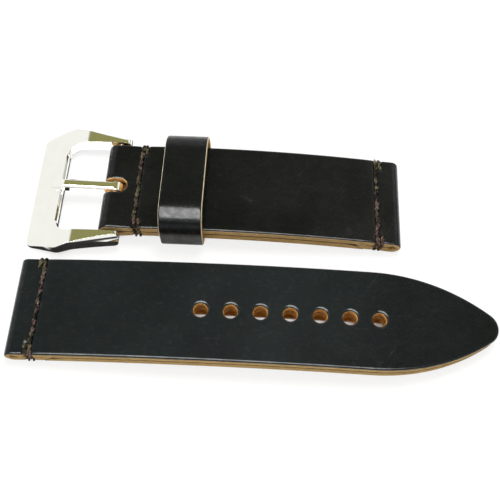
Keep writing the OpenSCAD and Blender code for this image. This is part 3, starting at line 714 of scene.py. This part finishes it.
thread_tree, thread_inputs = new_geometry_tree(
    "waxed_thread", {"Thread width": "Float", "Twist length": "Float", "Plies": "Int",
                     "Step": "Float", "Wax": "Material"})
spin = Finish(thread_tree)
given = {s.name: Wire(thread_tree, s) for s in spin.node("NodeGroupInput").socket.node.outputs}
path = spin.node("GeometryNodeMeshToCurve", {"Mesh": given["Path"]})
path = spin.node("GeometryNodeResampleCurve", {"Curve": path, "Length": given["Step"]},
                 mode="LENGTH")
plies = spin.node("GeometryNodeDuplicateElements",
                  {"Geometry": path, "Amount": given["Plies"]}, domain="SPLINE")
which = plies.also("Duplicate Index")
length = spin.node("GeometryNodeSplineParameter", out="Length")
phase = (length / given["Twist length"] + which / given["Plies"]) * (2 * math.pi)
normal = spin.node("GeometryNodeInputNormal")
side = spin.node("VectorMath", {0: spin.node("GeometryNodeInputTangent"), 1: normal},
                 operation="CROSS_PRODUCT")
ply_radius = given["Thread width"] * 0.27
reach = given["Thread width"] * 0.5 - ply_radius
turned_out = spin.node("VectorMath", {0: normal, "Scale": phase.math("COSINE", phase) * reach},
                       operation="SCALE")
turned_side = spin.node("VectorMath", {0: side, "Scale": phase.wave() * reach},
                        operation="SCALE")
offset = spin.node("VectorMath", {0: turned_out, 1: turned_side}, operation="ADD")
laid = spin.node("GeometryNodeSetPosition", {"Geometry": plies, "Offset": offset})
section = spin.node("GeometryNodeCurvePrimitiveCircle", {"Resolution": 8, "Radius": ply_radius})
swept = spin.node("GeometryNodeCurveToMesh",
                  {"Curve": laid, "Profile Curve": section, "Fill Caps": True})
made = spin.node("GeometryNodeSetMaterial", {"Geometry": swept, "Material": given["Wax"]})
made = spin.node("GeometryNodeRealizeInstances", {"Geometry": made})
spin.node("NodeGroupOutput", {0: made})


def through_tree(name, tree, named, values, points=(), edges=()):
    """Runs points and edges through a Geometry Nodes tree and keeps the plain mesh it gives."""
    guide_mesh = bpy.data.meshes.new(name + "_guide")
    guide_mesh.from_pydata(list(points), list(edges), [])
    guide = bpy.data.objects.new(name + "_guide", guide_mesh)
    scene.collection.objects.link(guide)
    modifier = guide.modifiers.new("tree", "NODES")
    modifier.node_group = tree
    for label, value in values.items():
        modifier[named[label]] = value
    graph = bpy.context.evaluated_depsgraph_get()
    mesh = bpy.data.meshes.new_from_object(guide.evaluated_get(graph), depsgraph=graph)
    guide.modifiers.remove(modifier)
    bpy.data.objects.remove(guide)
    mesh.shade_smooth()
    piece = bpy.data.objects.new(name, mesh)
    scene.collection.objects.link(piece)
    return piece


def stitch_paths(at, turn, chance):
    """The thread of one line of stitches, as lines of (s, n, y): the long stitches on both
    sides, and two turns round each edge."""
    high, low = THICK - THREAD_SUNK, THREAD_WIDTH / 2 - WRAP_OUT / 2
    paths = []
    for y0, y1 in zip(HOLE_Y, HOLE_Y[1:]):
        for level, inward in ((high, -1), (low, 1)):
            slant, bow = chance.uniform(0.10, 0.28), chance.uniform(-0.10, 0.10)
            path = []
            for t in steps(0, 1, 0.05):
                dive = abs(2 * t - 1) ** 7
                path.append((at + slant * (2 * t - 1) + bow * math.sin(math.pi * t),
                             level + inward * (STITCH_DIVE * dive - STITCH_RISE * (1 - dive)),
                             y0 + (y1 - y0) * t))
            paths.append((path, False))
    edge_y, corner = WIDTH / 2 - THREAD_SUNK, 0.40
    for sign in (-1, 1):
        for shift in (0, turn * TURN_GAP):
            lean = chance.uniform(-0.25, 0.25)
            ring = [(HOLE_Y[-1], low), (edge_y, low), (edge_y, high), (HOLE_Y[-1], high)]
            path = []
            for k in range(4):
                a, p, b = (Vector(ring[(k + d) % 4]) for d in (-1, 0, 1))
                first, last = p + (a - p).normalized() * corner, p + (b - p).normalized() * corner
                for t in steps(0, 1, 0.2):
                    q = first * (1 - t) ** 2 + p * 2 * t * (1 - t) + last * t ** 2
                    path.append(q)
            spaced = []
            for a, b in zip(path, path[1:] + path[:1]):
                spaced += [a.lerp(b, t) for t in steps(0, 1, 0.3 / max(0.3, (a - b).length))[:-1]]
            paths.append(([(at + shift + lean * (q.x - HOLE_Y[-1]) / 2.4, q.y, sign * q.x)
                           for q in spaced], True))
    return paths


def sewn(name, arch_of, at, turn, seed):
    """A line of hand stitching in place on its arch."""
    points, edges = [], []
    for path, closed in stitch_paths(at, turn, random.Random(seed)):
        first = len(points)
        points += [arch_of(*p) for p in path]
        edges += [(k, k + 1) for k in range(first, len(points) - 1)]
        if closed:
            edges.append((len(points) - 1, first))
    return through_tree(name, thread_tree, thread_inputs,
                        {"Thread width": THREAD_WIDTH * MM, "Twist length": TWIST_LENGTH * MM,
                         "Plies": PLIES, "Step": THREAD_STEP * MM, "Wax": waxed_thread},
                        points, edges)


waxed_thread, strand = new_finish("waxed_thread")
place = strand.node("TexCoord", out="Object")
lumps = strand.noise(place, 620, 4, 0.7)
filaments = strand.noise(strand.stretched(place, 5200, 1600, 5200), 1.0, 3)
shade = strand.mixed(strand.noise(place, 190, 2).ease(0.42, 0.58), (0.092, 0.054, 0.044),
                     (0.076, 0.066, 0.034))
# Painted light: the near-black patches, spread at random, stand in for shade between the plies and
# at the stitch holes, and the pale flecks are painted highlights. The brown between them changes
# at random.
brown = strand.mixed(lumps.ease(0.56, 0.42), shade, (0.007, 0.006, 0.005))
thread_colour_with_painted_light = strand.mixed(filaments.ease(0.54, 0.66) * lumps.ease(0.50, 0.62), brown,
                   (0.36, 0.31, 0.28))
bump = strand.node("Bump", {"Strength": 0.5, "Distance": 0.00005, "Height": filaments + lumps})
fibre = strand.node("BsdfPrincipled", {
    "Base Color": thread_colour_with_painted_light, "Roughness": 0.34 + filaments * 0.25, "Specular IOR Level": 0.05,
    "Normal": bump})
strand.node("OutputMaterial", {0: fibre})

long_thread = sewn("long_lug_thread", long_arch, LUG_STITCH_AT, -1, 11)
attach(long_thread, "long_strap")
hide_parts("long_lug_stitching")


# Short piece, black side. The same hide, folded back at both ends: round the bore for the
# watch's spring bar, and round the buckle's bar with a slot that lets the tang swing.
SHORT_LENGTH, SLOT_HALF, SLOT_BACK = 74.0, 1.9, 3.4
BAR_FOLD = dict(fold_r=2.65, reach=7.8, bore_r=0.99, slit_len=4.2, flap_len=17.0)
short_arch = arch(29.5683, 345.0, (-8.95958, -342.411), 13.775)
bar_fold = fold_stations(**BAR_FOLD)
lug_fold = mirrored(fold_stations(**LUG_FOLD), SHORT_LENGTH)
short_hide = Hide(bar_fold + lug_fold, short_arch)
BAR_STITCH_AT = 8.9
lug_line = SHORT_LENGTH - LUG_STITCH_AT
mirrored_lug = Hide(fold_stations(**LUG_FOLD), short_arch)
short_lines = [(BAR_STITCH_AT, 1), (under_run(short_hide, BAR_STITCH_AT), -1), (lug_line, 1),
               (SHORT_LENGTH - under_run(mirrored_lug, LUG_STITCH_AT), -1)]
short_runs = tidy_runs(short_hide.runs, steps(bar_fold[-1][0], lug_fold[0][0], ALONG_STEP),
                       *(near_thread(u) for u, _ in short_lines))
slot_top = BAR_FOLD["fold_r"] + SLOT_BACK
slot_under = under_run(short_hide, slot_top)
slot = [(slot_top - SLOT_HALF + SLOT_HALF * math.sin(a), SLOT_HALF * math.cos(a))
        for a in steps(0, math.pi, 0.2)]
slot += [(u, -SLOT_HALF) for u in reversed(between(short_runs, slot_under + SLOT_HALF + 0.2,
                                                   slot_top - SLOT_HALF - 0.2))]
slot += [(slot_under + SLOT_HALF - SLOT_HALF * math.sin(a), -SLOT_HALF * math.cos(a))
         for a in steps(0, math.pi, 0.2)]
slot += [(u, SLOT_HALF) for u in between(short_runs, slot_under + SLOT_HALF + 0.2,
                                         slot_top - SLOT_HALF - 0.2)]
SLOTTED = [(0.30, 0.0), (0.14, 0.03), (0.04, 0.10), (0.0, 0.2), (0.0, 0.9), (0.06, 1.0)]
grid = [(u, y) for u in short_runs for y in steps(-WIDTH / 2, WIDTH / 2, ACROSS_STEP)]
short_leather = cut_sheet(
    "short_black_leather", short_hide,
    [(strip_outline(short_runs, WIDTH / 2), BEVELLED, 0.2), (slot, SLOTTED, 0.05)],
    grid, pulled_by(short_lines))
short_black = black_leather("short_black_hide", (0.0024, 0.0030, 0.0036),
                            (0.0084, 0.0088, 0.0092), 0, 34, 0.35)
short_leather.data.materials.append(short_black)
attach(short_leather, "short_strap")
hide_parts("short_outer_leather")


# Short piece, tan lining. The undyed hide that fills the back between the two glued flaps.
short_lining_hide = Hide(lining_stations(BAR_FOLD["flap_len"], SHORT_LENGTH,
                                         LUG_FOLD["flap_len"]), short_arch)
grid = [(u, y) for u in short_lining_hide.runs
        for y in steps(-WIDTH / 2, WIDTH / 2, 2 * ACROSS_STEP)]
short_lining = cut_sheet("short_tan_lining", short_lining_hide,
                         [(strip_outline(short_lining_hide.runs, WIDTH / 2), LINED, 0.0)],
                         grid)
short_lining.data.materials.append(tan_hide)
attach(short_lining, "short_strap")
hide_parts("short_lining_leather")


# Short piece, stitching. Two lines of the same brown thread, one beside each fold.
for name, node, at, turn, seed in (
        ("short_lug_thread", "short_lug_stitching", lug_line, 1, 23),
        ("short_buckle_thread", "short_buckle_stitching", BAR_STITCH_AT, 1, 37)):
    line = sewn(name, short_arch, at, turn, seed)
    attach(line, "short_strap")
    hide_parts(node)


# Keeper. A strip of the same black hide bent into a loop round the short piece, which it
# slides along, with its two ends butted together underneath and sewn.
KEEPER_WIDTH, KEEPER_T, KEEPER_UNDER, KEEPER_HEIGHT, KEEPER_HALF = 10.4, 1.6, 2.3, 12.8, 14.0
CROWN_R, BASE_R = 6.5, 3.2
KEEPER_AT = Vector((-17.9269, 13.775, 2.47239))
KEEPER_LEAN = math.radians(-1.48941)


def on_keeper(y, n, x):
    """A point of the keeper in its own frame: x along the strap, y across it, n out of it."""
    c, s = math.cos(KEEPER_LEAN), math.sin(KEEPER_LEAN)
    return (KEEPER_AT + Vector((x * c + n * s, y, n * c - x * s))) * MM


def keeper_stations():
    """The loop's outside and inside, from one butted end round to the other."""
    low, high = -KEEPER_UNDER, KEEPER_HEIGHT - KEEPER_UNDER
    corners = [(KEEPER_HALF, low, BASE_R, -90), (KEEPER_HALF, high, CROWN_R, 0),
               (-KEEPER_HALF, high, CROWN_R, 90), (-KEEPER_HALF, low, BASE_R, 180)]
    outside = [(Vector((SEAM / 2, low)), -90)]
    for y, n, r, angle in corners:
        centre = Vector((y - math.copysign(r, y), n - math.copysign(r, n)))
        for turn in steps(angle, angle + 90, 6):
            a = math.radians(turn)
            outside.append((centre + r * Vector((math.cos(a), math.sin(a))), turn))
    outside.append((Vector((-SEAM / 2, low)), 270))
    filled = [outside[0]]
    for (p, pa), (q, qa) in zip(outside, outside[1:]):
        filled += [(p.lerp(q, t), pa + (qa - pa) * t)
                   for t in steps(0, 1, 0.8 / (q - p).length)[1:]]
    stations, run = [], 0.0
    for k, (p, turn) in enumerate(filled):
        run += (p - filled[k - 1][0]).length if k else 0
        a = math.radians(turn)
        stations.append((run, tuple(p), tuple(p - KEEPER_T * Vector((math.cos(a), math.sin(a))))))
    return stations


KEEPER_STITCHES, KEEPER_STITCH_LEN, KEEPER_HOLLOW = (-3.4, 0.0, 3.4), 3.2, 0.34
keeper_hide = Hide(keeper_stations(), on_keeper)
keeper_round = keeper_hide.runs[-1]


def keeper_shape(u, x, depth, gap):
    """Hollows for the stitches at the butted ends."""
    from_butt = min(u, keeper_round - u)
    lift = 0.0
    for row in KEEPER_STITCHES:
        reach = KEEPER_STITCH_LEN / 2 + 0.45
        if from_butt < reach + 0.4:
            fade = min(1.0, max(0.0, (reach + 0.4 - from_butt) / 0.6))
            lift -= KEEPER_HOLLOW * fade * math.exp(-((x - row) / 0.45) ** 2)
    return lift * (1 - depth), 0.0


KEEPER_EDGE = [(0.50, 0.0), (0.30, 0.02), (0.14, 0.08), (0.03, 0.17), (0.0, 0.28), (0.0, 0.86),
               (0.05, 0.94), (0.15, 1.0)]
keeper_runs = tidy_runs(keeper_hide.runs)
half = KEEPER_WIDTH / 2
grid = [(u, x) for u in keeper_runs for x in steps(-half, half, 0.35)]
keeper = cut_sheet("keeper_leather", keeper_hide,
                   [(strip_outline(keeper_runs, half), KEEPER_EDGE, 0.07)], grid, keeper_shape)
keeper.data.flip_normals()
keeper_black = black_leather("keeper_black_hide", (0.0032, 0.0038, 0.0044),
                             (0.0056, 0.0062, 0.0070), -25, 0, 1.0)
keeper.data.materials.append(keeper_black)
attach(keeper, "keeper")
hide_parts("keeper_loop")

points, edges = [], []
for row in KEEPER_STITCHES:
    loop = []
    for n in (-KEEPER_UNDER + 0.30, -KEEPER_UNDER + KEEPER_T - 0.42):
        ends = steps(-KEEPER_STITCH_LEN / 2, KEEPER_STITCH_LEN / 2, 0.2)
        loop += [(y, n, row + 0.08 * y) for y in (ends if n < -1.5 else reversed(ends))]
    first = len(points)
    points += [on_keeper(*p) for p in loop]
    edges += [(first + k, first + (k + 1) % len(loop)) for k in range(len(loop))]
keeper_thread = through_tree("keeper_thread", thread_tree, thread_inputs,
                             {"Thread width": 0.7 * MM, "Twist length": 1.9 * MM,
                              "Plies": PLIES, "Step": THREAD_STEP * MM, "Wax": waxed_thread},
                             points, edges)
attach(keeper_thread, "keeper")
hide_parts("keeper_stitching")


def polished(name, node, width, corner=22):
    """A copy of a machined solid with its sharp edges broken by a small rounding."""
    metal = bmesh.new()
    metal.from_mesh(nodes[node].data)
    bmesh.ops.remove_doubles(metal, verts=metal.verts, dist=1e-7)
    bmesh.ops.dissolve_limit(metal, angle_limit=math.radians(0.5), verts=metal.verts,
                             edges=metal.edges)
    mesh = bpy.data.meshes.new(name + "_blank")
    metal.to_mesh(mesh)
    metal.free()
    mesh.shade_smooth()
    blank = bpy.data.objects.new(name + "_blank", mesh)
    scene.collection.objects.link(blank)
    wheel = blank.modifiers.new("wheel", "BEVEL")
    wheel.width, wheel.segments, wheel.limit_method = width * MM, 3, "ANGLE"
    wheel.angle_limit = math.radians(corner)
    even = blank.modifiers.new("even", "WEIGHTED_NORMAL")
    even.weight, even.mode = 100, "FACE_AREA"
    graph = bpy.context.evaluated_depsgraph_get()
    finished = bpy.data.meshes.new_from_object(blank.evaluated_get(graph), depsgraph=graph)
    bpy.data.objects.remove(blank)
    piece = bpy.data.objects.new(name, finished)
    scene.collection.objects.link(piece)
    return piece


polished_steel, bright = new_finish("polished_steel")
place = bright.node("TexCoord", out="Object")
haze = bright.noise(place, 260, 3)
hairlines = bright.noise(bright.stretched(place, 700, 9000, 9000), 1.0, 2)
tone = bright.mixed(haze.ease(0.3, 0.7), (0.93, 0.925, 0.905), (0.955, 0.95, 0.93))
bump = bright.node("Bump", {"Strength": 0.02, "Distance": 0.000001, "Height": hairlines})
metal = bright.node("BsdfPrincipled", {
    "Base Color": tone, "Metallic": 1.0, "Roughness": 0.04 + hairlines * 0.06, "Normal": bump})
bright.node("OutputMaterial", {0: metal})

buckle = polished("buckle_plate_and_arms", "buckle_frame", 0.28)
buckle.data.materials.clear()
buckle.data.materials.append(polished_steel)
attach(buckle, "buckle")
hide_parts("buckle_frame")


# Tang. A forged and polished steel pin with an eye that turns on the spring bar, bevelled
# along its top and sloped to a flat point.
tang = polished("tang_pin", "buckle_tang", 0.12)
tang.data.materials.clear()
tang.data.materials.append(polished_steel)
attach(tang, "tang")
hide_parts("buckle_tang")


# Spring bar. A turned steel tube with a plunger at each end and a coil spring between them,
# which holds the buckle and the tang in the fold of the short piece.
turned_steel, lathe = new_finish("turned_steel")
place = lathe.node("TexCoord", out="Object")
rings = lathe.noise(lathe.stretched(place, 300, 12000, 300), 1.0, 2)
stain = lathe.noise(place, 700, 3)
tone = lathe.mixed(stain.ease(0.35, 0.7), (0.50, 0.49, 0.47), (0.66, 0.65, 0.63))
bump = lathe.node("Bump", {"Strength": 0.2, "Distance": 0.00002, "Height": rings})
metal = lathe.node("BsdfPrincipled", {"Base Color": tone, "Metallic": 1.0,
                                      "Roughness": 0.20 + rings * 0.15, "Normal": bump})
lathe.node("OutputMaterial", {0: metal})
for node in ("spring_bar_tube", "spring_bar_plunger_near", "spring_bar_plunger_far"):
    nodes[node].data.materials.clear()
    nodes[node].data.materials.append(turned_steel)

coil_tree, coil_inputs = new_geometry_tree(
    "coil_spring", {"Length": "Float", "Outer radius": "Float", "Wire radius": "Float",
                    "Turns": "Float", "Steel": "Material"})
coil = Finish(coil_tree)
given = {s.name: Wire(coil_tree, s) for s in coil.node("NodeGroupInput").socket.node.outputs}
middle_radius = given["Outer radius"] - given["Wire radius"]
spiral = coil.node("GeometryNodeCurveSpiral", {
    "Resolution": 14, "Rotations": given["Turns"], "Start Radius": middle_radius,
    "End Radius": middle_radius, "Height": given["Length"]})
wire = coil.node("GeometryNodeCurvePrimitiveCircle",
                 {"Resolution": 6, "Radius": given["Wire radius"]})
swept = coil.node("GeometryNodeCurveToMesh",
                  {"Curve": spiral, "Profile Curve": wire, "Fill Caps": True})
made = coil.node("GeometryNodeSetMaterial", {"Geometry": swept, "Material": given["Steel"]})
made = coil.node("GeometryNodeRealizeInstances", {"Geometry": made})
coil.node("NodeGroupOutput", {0: made})
low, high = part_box("spring_bar_spring")
spring = through_tree("spring_bar_coil", coil_tree, coil_inputs, {
    "Length": high.y - low.y, "Outer radius": 0.58 * MM, "Wire radius": 0.11 * MM,
    "Turns": 26.0, "Steel": turned_steel}, [(0, 0, 0)])
spring.data.transform(Matrix.Translation(((low.x + high.x) / 2, low.y, (low.z + high.z) / 2))
                      @ Matrix.Rotation(-math.pi / 2, 4, "X"))
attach(spring, "bar")
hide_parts("spring_bar_spring")
